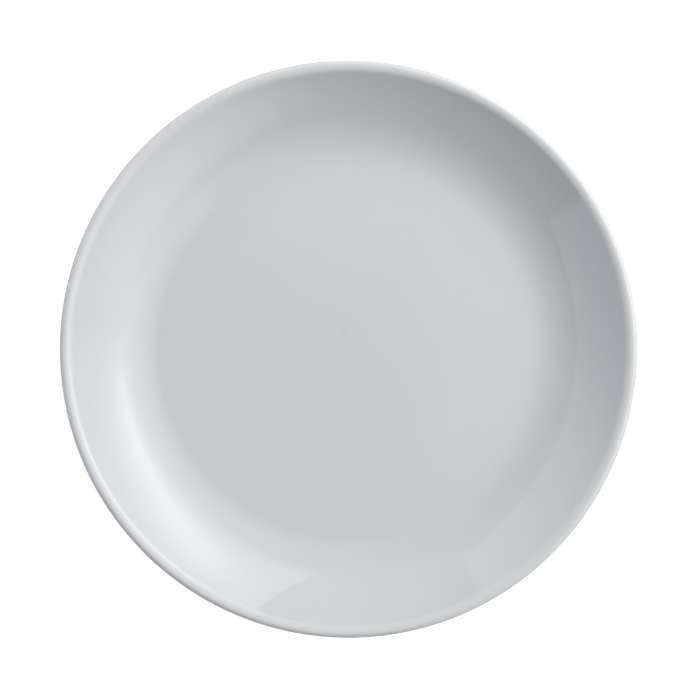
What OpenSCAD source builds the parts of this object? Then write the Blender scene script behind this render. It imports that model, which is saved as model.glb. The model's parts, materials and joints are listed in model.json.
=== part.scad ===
// Coupe dessert plate: a fired clay body under a coat of coloured glaze.
// Millimetres. The plate is round about Z and stands on the plane z = 0.

/* [Plate] */
// Diameter across the lip
plate_d = 190; // [150:1:280]
// Height from the table to the top of the lip
plate_h = 22; // [18:0.5:30]
// Thickness of the fired plate, glaze included
wall_t = 3.6; // [3:0.1:5]

/* [Wall and lip] */
// Width of the sloping wall, from the flat floor to the edge of the lip
wall_w = 32.5; // [26:0.5:44]
// Radius of the bend from the flat floor into the wall, at most what the wall has room for
bend_r = 28; // [12:1:31]
// Radius of the wall's own hollow curve
wall_r = 80; // [60:5:300]
// Radius of the lip's outer edge, at most half the thickness
lip_r = 1.5; // [0.8:0.1:1.8]

/* [Foot ring] */
// Height of the foot ring, which is the depth of the recess inside it
foot_h = 2.6; // [2:0.1:4]
// Width of the flat edge that the plate rests on
foot_flat_w = 2.2; // [1:0.1:5]
// Rounding along both sides of the flat edge
foot_edge_r = 0.6; // [0.2:0.1:0.9]
// Fillet between the foot ring and the underside
foot_fillet_r = 1.4; // [0.4:0.1:1.6]
// Play between the foot ring and the edge of the flat floor that it stands on in a stack
stack_gap = 2; // [1.6:0.1:6]

/* [Glaze] */
// Thickness of the glaze coat
glaze_t = 0.25; // [0.15:0.05:0.4]
// Height above the table at which the glaze stops and the foot ring is left bare
bare_h = 0.9; // [0.6:0.1:1.1]

/* [Hidden] */

// How far a chord may lie from the curve that it stands for
curve_tol = 0.004;
$fn = 180;

clay_colour = "#e4ddd0";
glaze_colour = "#c6cbcc";

// Heights of the two faces of the flat floor
under_z = foot_h;
floor_z = under_z + wall_t;

// Radii of the flat floor, of the lip and its crest, and of the foot ring's two sides
floor_r = plate_d / 2 - wall_w;
lip_edge_r = min(lip_r, wall_t / 2);
crest_r = plate_d / 2 - lip_edge_r;
edge_r = min(foot_edge_r, bare_h);
fillet_r = min(foot_fillet_r, stack_gap, foot_h - bare_h);
foot_out_r = floor_r - stack_gap;
foot_in_r = foot_out_r - foot_flat_w - 2 * (edge_r + glaze_t);

// The largest bend that comes up to the lip within the wall's width, and the share of it that
// a bend may take, so that some wall is left above it
lip_c = [crest_r, plate_h - lip_edge_r];
lip_run = crest_r - floor_r;
lip_rise = lip_c[1] - floor_z;
step_t = wall_t - lip_edge_r;
reach_r = (lip_run * lip_run + lip_rise * lip_rise - step_t * step_t) / (2 * (lip_rise + step_t));
bend_share = 0.9;
bend_fit_r = min(bend_r, bend_share * reach_r);

// The section is three tangent curves: bend and wall are hollow seen from above, the lip is round.
// Bend and wall keep one centre for their upper and lower faces, so the thickness stays the same.
bend_c = [floor_r, floor_z + bend_fit_r];
wall_c = meeting_point(bend_c, wall_r - bend_fit_r, lip_c, wall_r + wall_t - lip_edge_r);

// The lip's inner side rolls from the crest into the wall on the one radius that touches both
run = crest_r - wall_c[0];
rise = wall_c[1] - plate_h;
lip_inner_r = (run * run + rise * rise - wall_r * wall_r) / (2 * (wall_r - rise));
lip_inner_c = [crest_r, plate_h - lip_inner_r];

// Directions, in degrees, in which one curve hands over to the next
bend_end = heading(wall_c, bend_c);
wall_end = heading(wall_c, lip_inner_c);
under_end = heading(wall_c, lip_c);

// Unit vector at an angle, and the angle from one point to another
function ray(angle) = [cos(angle), sin(angle)];
function heading(from, to) = atan2(to[1] - from[1], to[0] - from[0]);

// The point at distance r1 from c1 and r2 from c2 that lies on the left of the line c1 to c2
function meeting_point(c1, r1, c2, r2) =
    let (d = norm(c2 - c1), along = (r1 * r1 - r2 * r2 + d * d) / (2 * d))
    let (aside = sqrt(r1 * r1 - along * along), u = (c2 - c1) / d)
    c1 + along * u + aside * [-u[1], u[0]];

// Points along an arc, just close enough together to keep to curve_tol
function arc(centre, radius, from, to) =
    let (step = 2 * acos(1 - curve_tol / radius), count = ceil(abs(to - from) / step))
    [for (i = [0 : count]) centre + radius * ray(from + (to - from) * i / count)];

// Upper face, lip and underside from the axis to the foot ring, moved in by inset from the glaze
function outer_path(inset) = concat(
    [[0, floor_z - inset]],
    arc(bend_c, bend_fit_r + inset, -90, bend_end),
    arc(wall_c, wall_r + inset, bend_end, wall_end),
    arc(lip_inner_c, lip_inner_r - inset, wall_end + 180, 90),
    arc(lip_c, lip_edge_r - inset, 90, under_end),
    arc(wall_c, wall_r + wall_t - inset, under_end, bend_end),
    arc(bend_c, bend_fit_r + wall_t - inset, bend_end, -90),
    arc([foot_out_r + fillet_r, under_z - fillet_r], fillet_r + inset, 90, 180)
);

// Inner side of the foot ring and ceiling of the recess, ending on the axis
function recess_path(inset) = concat(
    arc([foot_in_r - fillet_r, under_z - fillet_r], fillet_r + inset, 0, 90),
    [[0, under_z + inset]]
);

// Bare resting edge of the clay foot ring, from its outer side to its inner side
function foot_path() = concat(
    arc([foot_out_r - glaze_t - edge_r, edge_r], edge_r, 0, -90),
    arc([foot_in_r + glaze_t + edge_r, edge_r], edge_r, -90, -180)
);

function reversed(path) = [for (i = [len(path) - 1 : -1 : 0]) path[i]];

module turned(outline, colour) {
    color(colour) rotate_extrude() polygon(outline);
}

// The fired clay: floor, wall and foot ring in one piece
module clay_body() {
    turned(concat(outer_path(glaze_t), foot_path(), recess_path(glaze_t)), clay_colour);
}

// The coat over the face, the lip and the underside, down to the bare edge of the foot ring
module outer_glaze() {
    stop_line = [[foot_out_r, bare_h], [foot_out_r - glaze_t, bare_h]];
    turned(concat(outer_path(0), stop_line, reversed(outer_path(glaze_t))), glaze_colour);
}

// The coat inside the foot ring, which the bare edge parts from the other one
module recess_glaze() {
    stop_line = [[foot_in_r + glaze_t, bare_h], [foot_in_r, bare_h]];
    turned(concat(stop_line, recess_path(0), reversed(recess_path(glaze_t))), glaze_colour);
}

clay_body();
outer_glaze();
recess_glaze();
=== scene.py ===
import json

import bpy
import numpy as np
from mathutils import Matrix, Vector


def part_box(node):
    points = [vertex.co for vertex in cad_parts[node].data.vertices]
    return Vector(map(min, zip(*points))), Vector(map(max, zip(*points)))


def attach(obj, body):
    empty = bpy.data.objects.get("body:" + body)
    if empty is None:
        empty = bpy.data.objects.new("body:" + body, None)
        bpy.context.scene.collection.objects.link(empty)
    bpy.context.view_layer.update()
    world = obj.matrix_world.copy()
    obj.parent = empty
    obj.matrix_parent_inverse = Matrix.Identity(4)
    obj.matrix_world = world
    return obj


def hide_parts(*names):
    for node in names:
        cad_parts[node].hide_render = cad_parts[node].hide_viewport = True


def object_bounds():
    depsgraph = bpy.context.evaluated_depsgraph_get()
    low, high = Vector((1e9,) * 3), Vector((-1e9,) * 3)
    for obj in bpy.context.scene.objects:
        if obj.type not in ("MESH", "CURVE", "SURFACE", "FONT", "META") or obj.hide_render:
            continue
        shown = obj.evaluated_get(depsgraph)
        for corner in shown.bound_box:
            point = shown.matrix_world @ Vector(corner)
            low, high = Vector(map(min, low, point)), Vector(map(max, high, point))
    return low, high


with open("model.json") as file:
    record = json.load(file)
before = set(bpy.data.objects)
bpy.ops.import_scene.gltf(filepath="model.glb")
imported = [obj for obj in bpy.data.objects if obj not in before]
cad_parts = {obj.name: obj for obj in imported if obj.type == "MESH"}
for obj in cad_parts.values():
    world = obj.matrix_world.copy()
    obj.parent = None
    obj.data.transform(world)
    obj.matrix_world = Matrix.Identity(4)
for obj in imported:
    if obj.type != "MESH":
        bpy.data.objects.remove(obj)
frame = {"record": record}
cad_low, cad_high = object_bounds()

# Sizes in metres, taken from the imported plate
record = frame["record"]
resting_faces = {mount["name"]: mount["pos_m"] for mount in record["mounts"]}
outer_low, outer_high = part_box("outer_glaze")
clay_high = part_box("clay_body")[1]
recess_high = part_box("recess_glaze")[1]
PLATE_R = record["size"]["bbox_m"][0] / 2
PLATE_H = outer_high.z
GLAZE_T = outer_high.z - clay_high.z
BARE_Z = outer_low.z
FLOOR_Z = resting_faces["well_floor"][2]
UNDER_Z = recess_high.z - GLAZE_T
WALL_T = FLOOR_Z - UNDER_Z
FOOT_IN_R = recess_high.x - GLAZE_T
FOOT_OUT_R = 2 * resting_faces["foot_edge"][0] - FOOT_IN_R

# Curves of the section, as in the plate's design
STACK_GAP = 0.002
FLOOR_R = FOOT_OUT_R + STACK_GAP
BEND_R = 0.028
WALL_R = 0.080
LIP_R = 0.0015
FILLET_R = 0.0014
FOOT_EDGE_R = 0.0006

# Fineness of the meshes: steps round the axis, spacing of points along the section, and the distance
# under which two points are one
TURNS = 384
FACE_STEP = 0.0017
LIP_STEP = 0.00022
UNDER_STEP = 0.0022
FOOT_STEP = 0.00025
GLAZE_EDGE_STEP = GLAZE_T / 4
HIDDEN_STEP = 0.004
SAME_POINT = 1e-8

# Soft waves in the melted glaze: their height, their shortest and longest length, and how many there are
WAVE_HEIGHT = 0.000012
WAVE_LENGTHS = (0.011, 0.034)
WAVE_COUNT = 28
WAVE_SEED = 7

# Warp of the fired rim: its height, where its two- and three-lobed waves start, and the strength of the
# second beside the first
WARP_HEIGHT = 0.00010
WARP_STARTS = (0.7, 2.1)
WARP_SECOND_SHARE = 0.5

# Rings that the turning tool left in the recess, and how far and how fast their strength changes
TURNING_RING_HEIGHT = 0.000012
TURNING_RING_PITCH = 0.0031
TURNING_RING_SWELL = 0.4
TURNING_RING_SWELL_RATE = 0.83

# Wandering of the line where the glaze stops, and how far it is turned inside the foot ring
STOP_LINE_WANDER = 0.00012
STOP_LINE_LOBES = np.array([5, 9, 14, 23, 37])
STOP_LINE_STARTS = np.array([0.3, 1.9, 4.2, 2.6, 5.1])
RECESS_LINE_TURN = 1.3

# Finishes, as linear colours
GLAZE_COLOUR = (0.568, 0.597, 0.595)
GLAZE_POOLED = (0.560, 0.591, 0.590)
GLAZE_THIN = (0.605, 0.630, 0.624)
SPECK_COLOUR = (0.30, 0.29, 0.27)
CLAY_COLOUR = (0.74, 0.70, 0.62)
CLAY_DARK = (0.62, 0.57, 0.48)
FLOOR_COLOUR = (0.90, 0.90, 0.90)
FLOOR_BOUNCE = (0.75, 0.75, 0.75)
WHITE = (1.0, 1.0, 1.0)

# Where the glaze differs: how far below the top it starts to thin, and one faint spot in the well
LIP_FADE = 0.0017
SPOT_PLACE = (-0.0016, 0.0059)
SPOT_R = 0.0029
SPOT_STRENGTH = 0.095

# The glaze's clouds of colour, its uneven gloss, the fine ripple of its skin and its few faint specks.
# Scales are counted per metre, and a speck's size in cells.
GLAZE_CLOUDS = {"Scale": 38.0, "Detail": 3.0, "Roughness": 0.5}
GLOSS_PATCHES = {"Scale": 90.0, "Detail": 2.0}
GLOSS_ROUGHNESS = {"To_Min": 0.03, "To_Max": 0.065}
SKIN_RIPPLE = {"Scale": 260.0, "Detail": 2.0}
SKIN_RIPPLE_HEIGHT = 0.000004
GLAZE_SPECKS = {"Cells_per_metre": 55.0, "Size": 0.028, "Share": 0.3}
GLAZE_SPECK_STRENGTH = 0.35
GLAZE_IOR = 1.5

# The bare clay's grain and specks, and how dull it is
CLAY_GRAIN = {"Scale": 900.0, "Detail": 5.0, "Roughness": 0.65}
CLAY_GRAIN_HEIGHT = 0.00008
CLAY_SPECKS = {"Cells_per_metre": 420.0, "Size": 0.16, "Share": 0.35}
CLAY_ROUGHNESS = 0.85

# The stage: radii of the floor, which is open inside the foot ring, its gap below the foot, and its shine
# for the camera
FLOOR_TURNS = 96
FLOOR_RADII = (FOOT_OUT_R - GLAZE_T - FOOT_EDGE_R, 6.0)
FLOOR_CLEARANCE = 0.00005
FLOOR_SHINE = 0.67

# The lens and sensor in millimetres, and where the plate stands in the photograph, in its pixels
LENS_MM = 160.0
SENSOR_MM = 36.0
PHOTO_SIDE_PX = 700
PLATE_WIDTH_PX = 577.6
PLATE_CENTRE_PX = (348.7, 349.1)

# Lit panels: the middle's bearing, level distance and height, the lean and roll in degrees, width and
# height, and tint
SOFTBOX = {
    "place": (33.2, 0.61, 0.365), "lean": 17.0, "roll": -10.5,
    "size": (1.06, 0.83), "tint": (1.05, 1.0, 1.01),
}
OVERHEAD = {
    "place": (40.0, 0.30, 1.05), "lean": 90.0, "roll": 0.0,
    "size": (1.4, 0.6), "tint": (0.95, 1.0, 1.19),
}
LEFT_CARD = {
    "place": (165.7, 0.90, 0.387), "lean": 0.0, "roll": 0.0,
    "size": (1.93, 0.774), "tint": (0.935, 1.0, 1.13),
}
RIGHT_CARD = {
    "place": (315.0, 1.20, 0.50), "lean": 22.5, "roll": 18.0,
    "size": (1.85, 0.98), "tint": (0.955, 1.0, 1.07),
}
BACK_CARD = {
    "place": (123.5, 0.875, 0.48), "lean": 29.0, "roll": 0.0,
    "size": (2.02, 1.38), "tint": (1.0, 1.0, 1.015),
}

UNDER_PANEL = {
    "place": (0.0, 0.0, -0.60), "lean": -90.0, "roll": 0.0,
    "size": (1.2, 1.2), "tint": (1.0, 1.0, 1.0),
}

# Their radiance, and the place, turn and reach of the long lamp behind the softbox's cloth
CLOTH_RADIANCE = 1.64
LAMP_RADIANCE = 3.15
LAMP_MIDDLE = (0.017, 0.115)
LAMP_TURN = -16.8
LAMP_REACH = (0.72, 0.34)
OVERHEAD_RADIANCE = 0.305
LEFT_RADIANCE = 0.775
RIGHT_RADIANCE = 1.6
BACK_RADIANCE = 0.95
UNDER_RADIANCE = 0.8

# The room's radiance straight up, how fast it falls off lower down, its lean and tint
ROOM_TOP = 0.61
ROOM_POWER = 3.4
ROOM_LEAN = (3.4, 0.36, 0.0)
ROOM_TINT = (1.0, 1.0, 1.005)

# The camera's dark front: how much light it takes, half its angle and its radius in the overhead panel
CAMERA_SHADE = 0.5
CAMERA_HALF_ANGLE = np.radians(2.0)
CAMERA_HOLE_R = 0.072


def meeting_point(c1, r1, c2, r2):
    """The point at distance r1 from c1 and r2 from c2, on the left of the line from c1 to c2."""
    gap = np.linalg.norm(c2 - c1)
    u = (c2 - c1) / gap
    along = (r1 * r1 - r2 * r2 + gap * gap) / (2 * gap)
    aside = np.sqrt(r1 * r1 - along * along)
    return c1 + along * u + aside * np.array([-u[1], u[0]])


def heading(start, end):
    """The angle, in degrees, of the line from one point to another."""
    return np.degrees(np.arctan2(end[1] - start[1], end[0] - start[0]))


# Centres of the section's curves, as radius and height, and the angles at which one hands over to the next.
# The lip's inner side has the one radius that touches both the wall and the level of the crest.
bend_c = np.array([FLOOR_R, FLOOR_Z + BEND_R])
lip_c = np.array([PLATE_R - LIP_R, PLATE_H - LIP_R])
wall_c = meeting_point(bend_c, WALL_R - BEND_R, lip_c, WALL_R + WALL_T - LIP_R)
run = lip_c[0] - wall_c[0]
rise = wall_c[1] - PLATE_H
lip_inner_r = (run * run + rise * rise - WALL_R * WALL_R) / (2 * (WALL_R - rise))
lip_inner_c = np.array([lip_c[0], PLATE_H - lip_inner_r])
bend_end = heading(wall_c, bend_c)
wall_end = heading(wall_c, lip_inner_c)
under_end = heading(wall_c, lip_c)


def arc(centre, radius, start, end, step):
    """Points centre + radius (cos a, sin a), with a going evenly from start to end degrees."""
    count = int(np.ceil(abs(np.radians(end - start)) * radius / step)) + 2
    a = np.radians(np.linspace(start, end, count))
    return np.column_stack([centre[0] + radius * np.cos(a), centre[1] + radius * np.sin(a)])


def line(start, end, step):
    """Points spaced evenly along the straight line between two points."""
    length = np.hypot(end[0] - start[0], end[1] - start[1])
    count = int(np.ceil(length / step)) + 1
    return np.linspace(start, end, count)


def joined(*paths):
    """One path of several that follow on, each joint kept as a single point."""
    path = np.concatenate(paths)
    moved = np.linalg.norm(np.diff(path, axis=0), axis=1) > SAME_POINT
    return path[np.concatenate([[True], moved])]


def outer_path(inset, face_step, lip_step, under_step):
    """The section from the axis over face, lip and underside to the foot ring's outer side.

    It is a level line, three tangent arcs for bend, wall and lip, the same arcs again on the underside
    and a fillet, all moved in from the glazed surface by inset.
    """
    fillet_c = (FOOT_OUT_R + FILLET_R, UNDER_Z - FILLET_R)
    return joined(
        line((0, FLOOR_Z - inset), (FLOOR_R, FLOOR_Z - inset), face_step),
        arc(bend_c, BEND_R + inset, -90, bend_end, face_step),
        arc(wall_c, WALL_R + inset, bend_end, wall_end, face_step),
        arc(lip_inner_c, lip_inner_r - inset, wall_end + 180, 90, lip_step),
        arc(lip_c, LIP_R - inset, 90, under_end, lip_step),
        arc(wall_c, WALL_R + WALL_T - inset, under_end, bend_end, under_step),
        arc(bend_c, BEND_R + WALL_T - inset, bend_end, -90, under_step),
        arc(fillet_c, FILLET_R + inset, 90, 180, FOOT_STEP),
    )


def recess_path(inset, under_step):
    """The section from the foot ring's inner side up the fillet and along the recess to the axis."""
    fillet_c = (FOOT_IN_R - FILLET_R, UNDER_Z - FILLET_R)
    fillet = arc(fillet_c, FILLET_R + inset, 0, 90, FOOT_STEP)
    return joined(fillet, line(fillet[-1], (0, UNDER_Z + inset), under_step))


def foot_path():
    """The bare resting edge: a quarter round, the flat that stands on the table, a quarter round."""
    outer_c = (FOOT_OUT_R - GLAZE_T - FOOT_EDGE_R, FOOT_EDGE_R)
    inner_c = (FOOT_IN_R + GLAZE_T + FOOT_EDGE_R, FOOT_EDGE_R)
    outer = arc(outer_c, FOOT_EDGE_R, 0, -90, FOOT_STEP)
    inner = arc(inner_c, FOOT_EDGE_R, -90, -180, FOOT_STEP)
    return joined(outer, line(outer[-1], inner[0], FOOT_STEP), inner)


# The clay's surface under the two coats, which the backs of the coats follow too
under_outer_coat = outer_path(GLAZE_T, HIDDEN_STEP, HIDDEN_STEP, HIDDEN_STEP)
under_recess_coat = recess_path(GLAZE_T, HIDDEN_STEP)

rng = np.random.default_rng(WAVE_SEED)
wave_numbers = 2 * np.pi / rng.uniform(*WAVE_LENGTHS, WAVE_COUNT)
wave_bearings = rng.uniform(0, 2 * np.pi, WAVE_COUNT)
wave_starts = rng.uniform(0, 2 * np.pi, WAVE_COUNT)
wave_kx = wave_numbers * np.cos(wave_bearings)
wave_ky = wave_numbers * np.sin(wave_bearings)


def glaze_waves(radius, angle):
    """Soft unevenness of a melted glaze: a sum of sine waves that cross the plate on chance bearings."""
    x = radius * np.cos(angle)
    y = radius * np.sin(angle)
    phase = x[..., None] * wave_kx + y[..., None] * wave_ky + wave_starts
    return WAVE_HEIGHT * np.sqrt(2 / WAVE_COUNT) * np.sin(phase).sum(axis=-1)


def turning_rings(radius):
    """Faint rings that a turning tool leaves: a sine of the radius with a slower sine in its strength."""
    swell = 1 - TURNING_RING_SWELL * (1 - np.sin(TURNING_RING_SWELL_RATE * radius / TURNING_RING_PITCH))
    return TURNING_RING_HEIGHT * swell * np.sin(2 * np.pi * radius / TURNING_RING_PITCH)


def firing_warp(angle, height):
    """Lift of the rim by two- and three-lobed waves round the axis, growing with the square of height."""
    share = np.clip((height - UNDER_Z) / (PLATE_H - UNDER_Z), 0, 1) ** 2
    first = np.cos(2 * angle + WARP_STARTS[0])
    second = WARP_SECOND_SHARE * np.cos(3 * angle + WARP_STARTS[1])
    return WARP_HEIGHT * share * (first + second)


def stop_line_wander(angle):
    """Wandering of the wiped edge of the glaze round the foot ring: the mean of five sines of the angle."""
    return STOP_LINE_WANDER * np.sin(angle[..., None] * STOP_LINE_LOBES + STOP_LINE_STARTS).mean(axis=-1)


def stop_line_share(height):
    """How much a point near the stop line follows it: 1 at the line, 0 from the foot ring's fillet up."""
    return np.clip((UNDER_Z - FILLET_R - height) / (UNDER_Z - FILLET_R - BARE_Z), 0, 1)


def mesh_object(name, points, faces, material):
    """A new object at the origin, with a mesh of these points and faces in one material."""
    mesh = bpy.data.meshes.new(name)
    mesh.from_pydata(points.tolist(), [], faces)
    mesh.materials.append(material)
    made = bpy.data.objects.new(name, mesh)
    bpy.context.scene.collection.objects.link(made)
    return made


def turned(name, path, unevenness, material):
    """A piece turned about Z: the points (r, z) of a path carried round by x = r cos a, y = r sin a.

    The path starts and ends on the axis. unevenness takes the grids of radius, height and angle, and gives
    how far each point moves along the path's normal and how far it then rises. The firing warp lifts the
    rim last.
    """
    slope = np.gradient(path, axis=0)
    normal = np.column_stack([-slope[:, 1], slope[:, 0]])
    normal /= np.linalg.norm(normal, axis=1, keepdims=True)
    normal[[0, -1], 0] = 0

    angle = np.linspace(0, 2 * np.pi, TURNS, endpoint=False)[None, :]
    radius = path[:, :1] + 0 * angle
    height = path[:, 1:] + 0 * angle
    push, lift = unevenness(radius, height, angle + 0 * radius)
    radius = radius + push * normal[:, :1]
    height = height + push * normal[:, 1:] + lift
    height = height + firing_warp(angle, height)
    grid = np.stack([radius * np.cos(angle), radius * np.sin(angle), height], axis=-1)

    rings = len(path) - 2
    points = np.concatenate([grid[:1, 0], grid[1:-1].reshape(-1, 3), grid[-1:, 0]])
    index = 1 + np.arange(rings * TURNS).reshape(rings, TURNS)
    following = np.roll(index, -1, axis=1)
    walls = np.stack([index[:-1], index[1:], following[1:], following[:-1]], axis=-1).reshape(-1, 4)
    start_fan = np.stack([np.zeros(TURNS, int), index[0], following[0]], axis=-1)
    end_fan = np.stack([index[-1], np.full(TURNS, len(points) - 1), following[-1]], axis=-1)
    faces = start_fan.tolist() + walls.tolist() + end_fan.tolist()

    piece = mesh_object(name, points, faces, material)
    piece.data.polygons.foreach_set("use_smooth", np.ones(len(faces), bool))
    piece.data.update()
    return piece


def new_material(name):
    """An empty node material, with its tree."""
    material = bpy.data.materials.new(name)
    material.use_nodes = True
    material.node_tree.nodes.clear()
    return material, material.node_tree


def feed(tree, socket, value):
    """Links a socket to another one, or sets it to a plain value."""
    if isinstance(value, bpy.types.NodeSocket):
        tree.links.new(value, socket)
    else:
        socket.default_value = value


def add(tree, kind, settings=None, **inputs):
    """One node with its settings and inputs. An underscore stands for a space in an input's name."""
    made = tree.nodes.new(kind)
    for key, value in (settings or {}).items():
        setattr(made, key, value)
    for key, value in inputs.items():
        feed(tree, made.inputs[key.replace("_", " ")], value)
    return made


def add_in_order(tree, kind, settings, *values):
    """One node whose first inputs take these values in order, for a node whose inputs share a name."""
    made = add(tree, kind, settings)
    for socket, value in zip(made.inputs, values):
        feed(tree, socket, value)
    return made


def maths(tree, operation, *values):
    """The result of one Math node."""
    return add_in_order(tree, "ShaderNodeMath", {"operation": operation}, *values).outputs["Value"]


def vector_maths(tree, operation, *vectors):
    """The number that one Vector Math node makes of vectors."""
    return add_in_order(tree, "ShaderNodeVectorMath", {"operation": operation}, *vectors).outputs["Value"]


def either(tree, share, first, second):
    """A mix of two shaders: the first where the share is 0, the second where it is 1."""
    return add_in_order(tree, "ShaderNodeMixShader", None, share, first, second).outputs["Shader"]


def mixed(tree, share, first, second):
    """A mix of two colours: the first where the share is 0, the second where it is 1."""
    mix = add(tree, "ShaderNodeMix", {"data_type": "RGBA"}, Factor=share, A=first, B=second)
    return mix.outputs["Result"]


def eased(tree, value, **ends):
    """A value carried from one span to another, eased at both ends. An end not given is 0 or 1."""
    carried = add(tree, "ShaderNodeMapRange", {"interpolation_type": "SMOOTHSTEP"}, Value=value, **ends)
    return carried.outputs["Result"]


def rgba(colour):
    """A colour with full alpha."""
    return (*colour, 1.0)


def specks_group():
    """Node group: a mask of small round specks, one to a cell of a chance lattice, most cells empty."""
    group = bpy.data.node_groups.new("iron_specks", "ShaderNodeTree")
    face = group.interface
    face.new_socket("Vector", in_out="INPUT", socket_type="NodeSocketVector")
    for name in ("Cells per metre", "Size", "Share"):
        face.new_socket(name, in_out="INPUT", socket_type="NodeSocketFloat")
    face.new_socket("Mask", in_out="OUTPUT", socket_type="NodeSocketFloat")

    given = group.nodes.new("NodeGroupInput").outputs
    cells = add(group, "ShaderNodeTexVoronoi", Vector=given["Vector"], Scale=given["Cells per metre"])
    chance = add(group, "ShaderNodeSeparateColor", Color=cells.outputs["Color"])
    kept = maths(group, "LESS_THAN", chance.outputs["Red"], given["Share"])
    size = maths(group, "MULTIPLY", given["Size"], chance.outputs["Green"])
    dot = eased(group, cells.outputs["Distance"], From_Max=size, To_Min=1.0, To_Max=0.0)
    add(group, "NodeGroupOutput", Mask=maths(group, "MULTIPLY", dot, kept))
    return group


specks = specks_group()


def glaze_material():
    """Gloss glaze: a pale blue-grey with faint clouds in it, lighter where it thins over the lip.

    A faint spot in the well and rare specks darken it, its gloss varies, and its skin ripples finely.
    """
    material, tree = new_material("blue_grey_glaze")
    place = add(tree, "ShaderNodeTexCoord").outputs["Object"]

    clouds = add(tree, "ShaderNodeTexNoise", Vector=place, **GLAZE_CLOUDS)
    tint = mixed(tree, clouds.outputs["Fac"], rgba(GLAZE_COLOUR), rgba(GLAZE_POOLED))
    height = add(tree, "ShaderNodeSeparateXYZ", Vector=place).outputs["Z"]
    thin = eased(tree, height, From_Min=PLATE_H - LIP_FADE, From_Max=PLATE_H)
    coat = mixed(tree, thin, tint, rgba(GLAZE_THIN))

    away = vector_maths(tree, "DISTANCE", place, (*SPOT_PLACE, FLOOR_Z))
    spot = eased(tree, away, From_Max=SPOT_R, To_Min=SPOT_STRENGTH, To_Max=0.0)
    speck = add(tree, "ShaderNodeGroup", {"node_tree": specks}, Vector=place, **GLAZE_SPECKS)
    marks = maths(tree, "MULTIPLY_ADD", speck.outputs["Mask"], GLAZE_SPECK_STRENGTH, spot)
    colour = mixed(tree, marks, coat, rgba(SPECK_COLOUR))

    gloss = add(tree, "ShaderNodeTexNoise", Vector=place, **GLOSS_PATCHES)
    roughness = add(tree, "ShaderNodeMapRange", Value=gloss.outputs["Fac"], **GLOSS_ROUGHNESS)
    ripple = add(tree, "ShaderNodeTexNoise", Vector=place, **SKIN_RIPPLE)
    bump = add(tree, "ShaderNodeBump", Height=ripple.outputs["Fac"], Distance=SKIN_RIPPLE_HEIGHT)

    shader = add(
        tree,
        "ShaderNodeBsdfPrincipled",
        Base_Color=colour,
        Roughness=roughness.outputs["Result"],
        IOR=GLAZE_IOR,
        Normal=bump.outputs["Normal"],
    )
    add(tree, "ShaderNodeOutputMaterial", Surface=shader.outputs["BSDF"])
    return material


def clay_material():
    """Bare fired clay: a warm pale body with fine grain and small dark grog specks, dry to the touch."""
    material, tree = new_material("bare_clay")
    place = add(tree, "ShaderNodeTexCoord").outputs["Object"]

    grain = add(tree, "ShaderNodeTexNoise", Vector=place, **CLAY_GRAIN)
    tint = mixed(tree, grain.outputs["Fac"], rgba(CLAY_COLOUR), rgba(CLAY_DARK))
    speck = add(tree, "ShaderNodeGroup", {"node_tree": specks}, Vector=place, **CLAY_SPECKS)
    colour = mixed(tree, speck.outputs["Mask"], tint, rgba(SPECK_COLOUR))
    bump = add(tree, "ShaderNodeBump", Height=grain.outputs["Fac"], Distance=CLAY_GRAIN_HEIGHT)

    shader = add(
        tree,
        "ShaderNodeBsdfPrincipled",
        Base_Color=colour,
        Roughness=CLAY_ROUGHNESS,
        Normal=bump.outputs["Normal"],
    )
    add(tree, "ShaderNodeOutputMaterial", Surface=shader.outputs["BSDF"])
    return material


def paper_material():
    """White paper that shines a little for the camera alone, and is clear from below."""
    material, tree = new_material("pale_paper")
    paper = add(tree, "ShaderNodeBsdfDiffuse", Color=rgba(FLOOR_COLOUR)).outputs["BSDF"]
    shine = add(tree, "ShaderNodeEmission", Strength=FLOOR_SHINE).outputs["Emission"]
    shown = add_in_order(tree, "ShaderNodeAddShader", None, paper, shine).outputs["Shader"]
    bounce = add(tree, "ShaderNodeBsdfDiffuse", Color=rgba(FLOOR_BOUNCE)).outputs["BSDF"]
    by_eye = add(tree, "ShaderNodeLightPath").outputs["Is Camera Ray"]
    from_below = add(tree, "ShaderNodeNewGeometry").outputs["Backfacing"]
    clear = add(tree, "ShaderNodeBsdfTransparent").outputs["BSDF"]
    sided = either(tree, from_below, either(tree, by_eye, bounce, shown), clear)
    add(tree, "ShaderNodeOutputMaterial", Surface=sided)
    return material


glaze = glaze_material()
clay = clay_material()


def clay_body():
    """The fired clay, left true: face, wall and lip under the glaze, the bare foot edge, and the recess."""

    def uneven(radius, height, angle):
        return np.zeros_like(radius), np.zeros_like(radius)

    path = joined(under_outer_coat, foot_path(), under_recess_coat)
    return turned("clay_body_fired", path, uneven, clay)


def outer_glaze():
    """The coat over face, lip and underside: the glazed surface, a round edge, the back on the clay."""
    shown = outer_path(0, FACE_STEP, LIP_STEP, UNDER_STEP)
    edge = arc((FOOT_OUT_R - GLAZE_T, BARE_Z + GLAZE_T), GLAZE_T, 0, -90, GLAZE_EDGE_STEP)
    path = joined(shown, edge, under_outer_coat[::-1])
    is_shown = (np.arange(len(path)) < len(shown))[:, None]

    def uneven(radius, height, angle):
        push = is_shown * glaze_waves(radius, angle)
        return push, stop_line_wander(angle) * stop_line_share(height)

    return turned("outer_glaze_coat", path, uneven, glaze)


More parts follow.
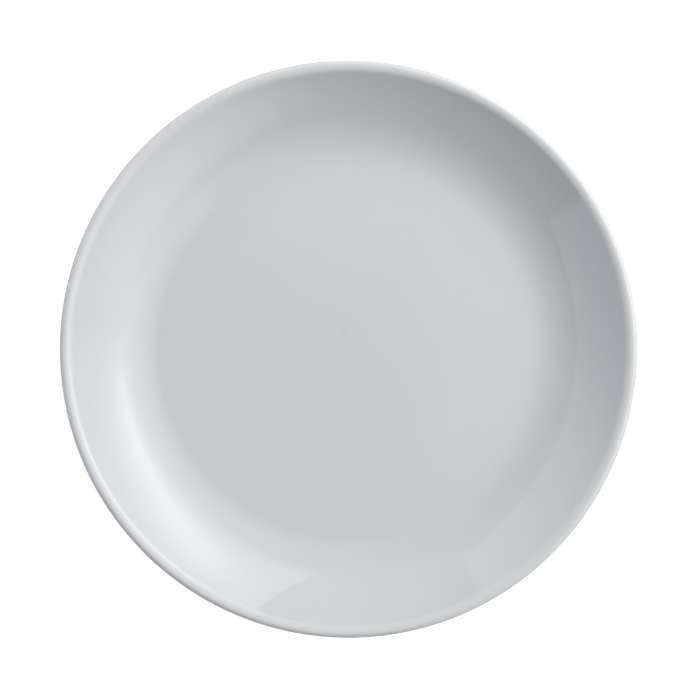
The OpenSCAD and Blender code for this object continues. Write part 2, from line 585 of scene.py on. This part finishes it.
def recess_glaze():
    """The coat inside the foot ring: the back against the clay, a round edge, the glazed surface."""
    edge = arc((FOOT_IN_R + GLAZE_T, BARE_Z + GLAZE_T), GLAZE_T, -90, -180, GLAZE_EDGE_STEP)
    shown = recess_path(0, UNDER_STEP)
    path = joined(under_recess_coat[::-1], edge, shown)
    is_shown = (np.arange(len(path)) >= len(path) - len(shown))[:, None]

    def uneven(radius, height, angle):
        push = is_shown * (glaze_waves(radius, angle) + turning_rings(radius))
        return push, stop_line_wander(angle + RECESS_LINE_TURN) * stop_line_share(height)

    return turned("recess_glaze_coat", path, uneven, glaze)


for piece, node, slot in (
    (clay_body(), "clay_body", "clay"),
    (outer_glaze(), "outer_glaze", "glaze"),
    (recess_glaze(), "recess_glaze", "glaze"),
):
    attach(piece, "root")
    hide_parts(node)


def pale_floor():
    """A level ring round the foot, white in the picture, open inside it to let light up into the recess.

    It lies as pale as in the photograph, and yet throws only its own reflected light on to the plate.
    """
    angle = np.linspace(0, 2 * np.pi, FLOOR_TURNS, endpoint=False)
    radius = np.array(FLOOR_RADII)[:, None]
    level = np.full((len(FLOOR_RADII), FLOOR_TURNS), cad_low.z - FLOOR_CLEARANCE)
    grid = np.stack([radius * np.cos(angle), radius * np.sin(angle), level], axis=-1)
    inner = np.arange(FLOOR_TURNS)
    beside = np.roll(inner, -1)
    ring = np.stack([inner, inner + FLOOR_TURNS, beside + FLOOR_TURNS, beside], axis=-1)
    floor = mesh_object("pale_floor", grid.reshape(-1, 3), ring.tolist(), paper_material())


def bell(tree, *values):
    """exp(-(a^2 + b^2 + ...)) of the values a, b and so on."""
    total = 0.0
    for value in values:
        total = maths(tree, "MULTIPLY_ADD", value, value, total)
    return maths(tree, "EXPONENT", maths(tree, "MULTIPLY", total, -1.0))


def panel_light(name, place, lean, roll, size, tint, pattern):
    """A flat lit panel, hidden from the camera.

    Its middle is at place: a bearing (0 is +X, 90 is +Y), a level distance from the plate's axis and a
    height. It faces the axis, leans forward until it faces straight down at 90 degrees, or back until it
    faces straight up at -90, and is then rolled in its own plane. pattern gives its radiance from p and q,
    the way across and up it in half sizes.
    """
    bearing, reach, height = place
    b, e, turn = np.radians([bearing, lean, roll])
    out = np.array([np.cos(e) * np.cos(b), np.cos(e) * np.sin(b), np.sin(e)])
    level = np.array([-np.sin(b), np.cos(b), 0.0])
    up = np.cross(out, level)
    across = level * np.cos(turn) + up * np.sin(turn)
    along = up * np.cos(turn) - level * np.sin(turn)
    middle = np.array([reach * np.cos(b), reach * np.sin(b), height])

    light = bpy.data.lights.new(name, "AREA")
    light.shape = "RECTANGLE"
    light.size, light.size_y = size
    light.energy = np.pi * size[0] * size[1]
    light.color = tint
    light.use_nodes = True
    tree = light.node_tree
    tree.nodes.clear()
    lit_point = add(tree, "ShaderNodeNewGeometry").outputs["Parametric"]
    way = add(tree, "ShaderNodeSeparateXYZ", Vector=lit_point)
    p = maths(tree, "MULTIPLY_ADD", way.outputs["X"], 2.0, -1.0)
    q = maths(tree, "MULTIPLY_ADD", way.outputs["Y"], 2.0, -1.0)
    shine = add(tree, "ShaderNodeEmission", Strength=pattern(tree, p, q))
    add(tree, "ShaderNodeOutputLight", Surface=shine.outputs["Emission"])

    lamp = bpy.data.objects.new(name, light)
    lamp.matrix_world = Matrix(np.column_stack([across, along, out, middle]).tolist()).to_4x4()
    lamp.visible_camera = False
    bpy.context.scene.collection.objects.link(lamp)


def even(radiance):
    """A panel lit the same all over, with sharp edges."""

    def pattern(tree, p, q):
        return radiance

    return pattern


def fading(radiance):
    """A panel that fades to nothing at its edges: radiance (1 - p^2) (1 - q^2)."""

    def pattern(tree, p, q):
        across = maths(tree, "MULTIPLY_ADD", maths(tree, "MULTIPLY", p, p), -1.0, 1.0)
        up = maths(tree, "MULTIPLY_ADD", maths(tree, "MULTIPLY", q, q), -radiance, radiance)
        return maths(tree, "MULTIPLY", across, up)

    return pattern


def softbox():
    """A diffuser with a long lamp behind it.

    The cloth's radiance is CLOTH_RADIANCE (1 + p) / 2, which ends sharply at p = 1. The lamp adds
    LAMP_RADIANCE exp(-(a / first reach)^4 - (b / second reach)^2), where a and b are p and q counted from
    its middle and turned.
    """
    c, s = np.cos(np.radians(LAMP_TURN)), np.sin(np.radians(LAMP_TURN))
    long, short = LAMP_REACH

    def pattern(tree, p, q):
        cloth = maths(tree, "MULTIPLY_ADD", p, CLOTH_RADIANCE / 2, CLOTH_RADIANCE / 2)
        dp = maths(tree, "SUBTRACT", p, LAMP_MIDDLE[0])
        dq = maths(tree, "SUBTRACT", q, LAMP_MIDDLE[1])
        a = maths(tree, "MULTIPLY_ADD", dq, s / long, maths(tree, "MULTIPLY", dp, c / long))
        b = maths(tree, "MULTIPLY_ADD", dp, -s / short, maths(tree, "MULTIPLY", dq, c / short))
        shape = bell(tree, maths(tree, "MULTIPLY", a, a), b)
        return maths(tree, "MULTIPLY_ADD", shape, LAMP_RADIANCE, cloth)

    return pattern


def overhead():
    """A level panel, strongest along its edge by the axis, with the camera's dark front in it.

    Its radiance is OVERHEAD_RADIANCE (1 + q) / 2 times 1 - CAMERA_SHADE exp(-(d / CAMERA_HOLE_R)^4), where
    d is the distance from the axis.
    """
    reach = OVERHEAD["place"][1]
    width, depth = OVERHEAD["size"]

    def pattern(tree, p, q):
        out = maths(tree, "MULTIPLY_ADD", q, -depth / 2 / CAMERA_HOLE_R, reach / CAMERA_HOLE_R)
        aside = maths(tree, "MULTIPLY", p, width / 2 / CAMERA_HOLE_R)
        square = maths(tree, "MULTIPLY_ADD", aside, aside, maths(tree, "MULTIPLY", out, out))
        open_share = maths(tree, "MULTIPLY_ADD", bell(tree, square), -CAMERA_SHADE, 1.0)
        level = maths(tree, "MULTIPLY_ADD", q, OVERHEAD_RADIANCE / 2, OVERHEAD_RADIANCE / 2)
        return maths(tree, "MULTIPLY", level, open_share)

    return pattern


def surround():
    """The room's own light: strongest overhead, fading to the table, and brighter on the softbox's side.

    In a direction of height h its radiance is ROOM_TOP h^ROOM_POWER times the exponential of the
    direction's share along ROOM_LEAN. The camera's dark front dims a small disc of it straight above, by
    1 - CAMERA_SHADE exp(-(2 (1 - h) / CAMERA_HALF_ANGLE^2)^2). The camera itself sees plain white.
    """
    world = bpy.data.worlds.new("surround")
    world.use_nodes = True
    tree = world.node_tree
    tree.nodes.clear()
    direction = add(tree, "ShaderNodeTexCoord").outputs["Generated"]
    height = add(tree, "ShaderNodeSeparateXYZ", Vector=direction).outputs["Z"]
    rising = maths(tree, "POWER", maths(tree, "MAXIMUM", height, 0.0), ROOM_POWER)
    leaning = maths(tree, "EXPONENT", vector_maths(tree, "DOT_PRODUCT", direction, ROOM_LEAN))
    level = maths(tree, "MULTIPLY", maths(tree, "MULTIPLY", rising, ROOM_TOP), leaning)
    steep = 2 / CAMERA_HALF_ANGLE**2
    disc = bell(tree, maths(tree, "MULTIPLY_ADD", height, -steep, steep))
    open_share = maths(tree, "MULTIPLY_ADD", disc, -CAMERA_SHADE, 1.0)
    strength = maths(tree, "MULTIPLY", level, open_share)
    room = add(tree, "ShaderNodeBackground", Strength=strength, Color=rgba(ROOM_TINT)).outputs["Background"]
    white = add(tree, "ShaderNodeBackground", Strength=1.0, Color=rgba(WHITE)).outputs["Background"]
    by_eye = add(tree, "ShaderNodeLightPath").outputs["Is Camera Ray"]
    add(tree, "ShaderNodeOutputWorld", Surface=either(tree, by_eye, room, white))
    bpy.context.scene.world = world


def studio():
    """Soft light: a softbox at the upper right, a panel overhead, cards at three sides, and the room.

    One more panel lies under the floor and lights the recess alone.
    """
    panel_light("softbox", **SOFTBOX, pattern=softbox())
    panel_light("overhead", **OVERHEAD, pattern=overhead())
    panel_light("left_card", **LEFT_CARD, pattern=even(LEFT_RADIANCE))
    panel_light("right_card", **RIGHT_CARD, pattern=fading(RIGHT_RADIANCE))
    panel_light("back_card", **BACK_CARD, pattern=fading(BACK_RADIANCE))
    panel_light("under_panel", **UNDER_PANEL, pattern=even(UNDER_RADIANCE))
    surround()


def camera():
    """A long lens straight above the plate, framed as the photograph frames it."""
    lens = bpy.data.cameras.new("camera")
    lens.lens = LENS_MM
    lens.sensor_width = SENSOR_MM
    metres_per_px = 2 * PLATE_R / PLATE_WIDTH_PX
    above_lip = PHOTO_SIDE_PX * metres_per_px * LENS_MM / SENSOR_MM
    eye = bpy.data.objects.new("camera", lens)
    eye.location = (
        (PHOTO_SIDE_PX / 2 - PLATE_CENTRE_PX[0]) * metres_per_px,
        (PLATE_CENTRE_PX[1] - PHOTO_SIDE_PX / 2) * metres_per_px,
        lip_c[1] + above_lip,
    )
    bpy.context.scene.collection.objects.link(eye)
    bpy.context.scene.camera = eye


pale_floor()
studio()
camera()
bpy.context.scene.view_settings.view_transform = "Standard"
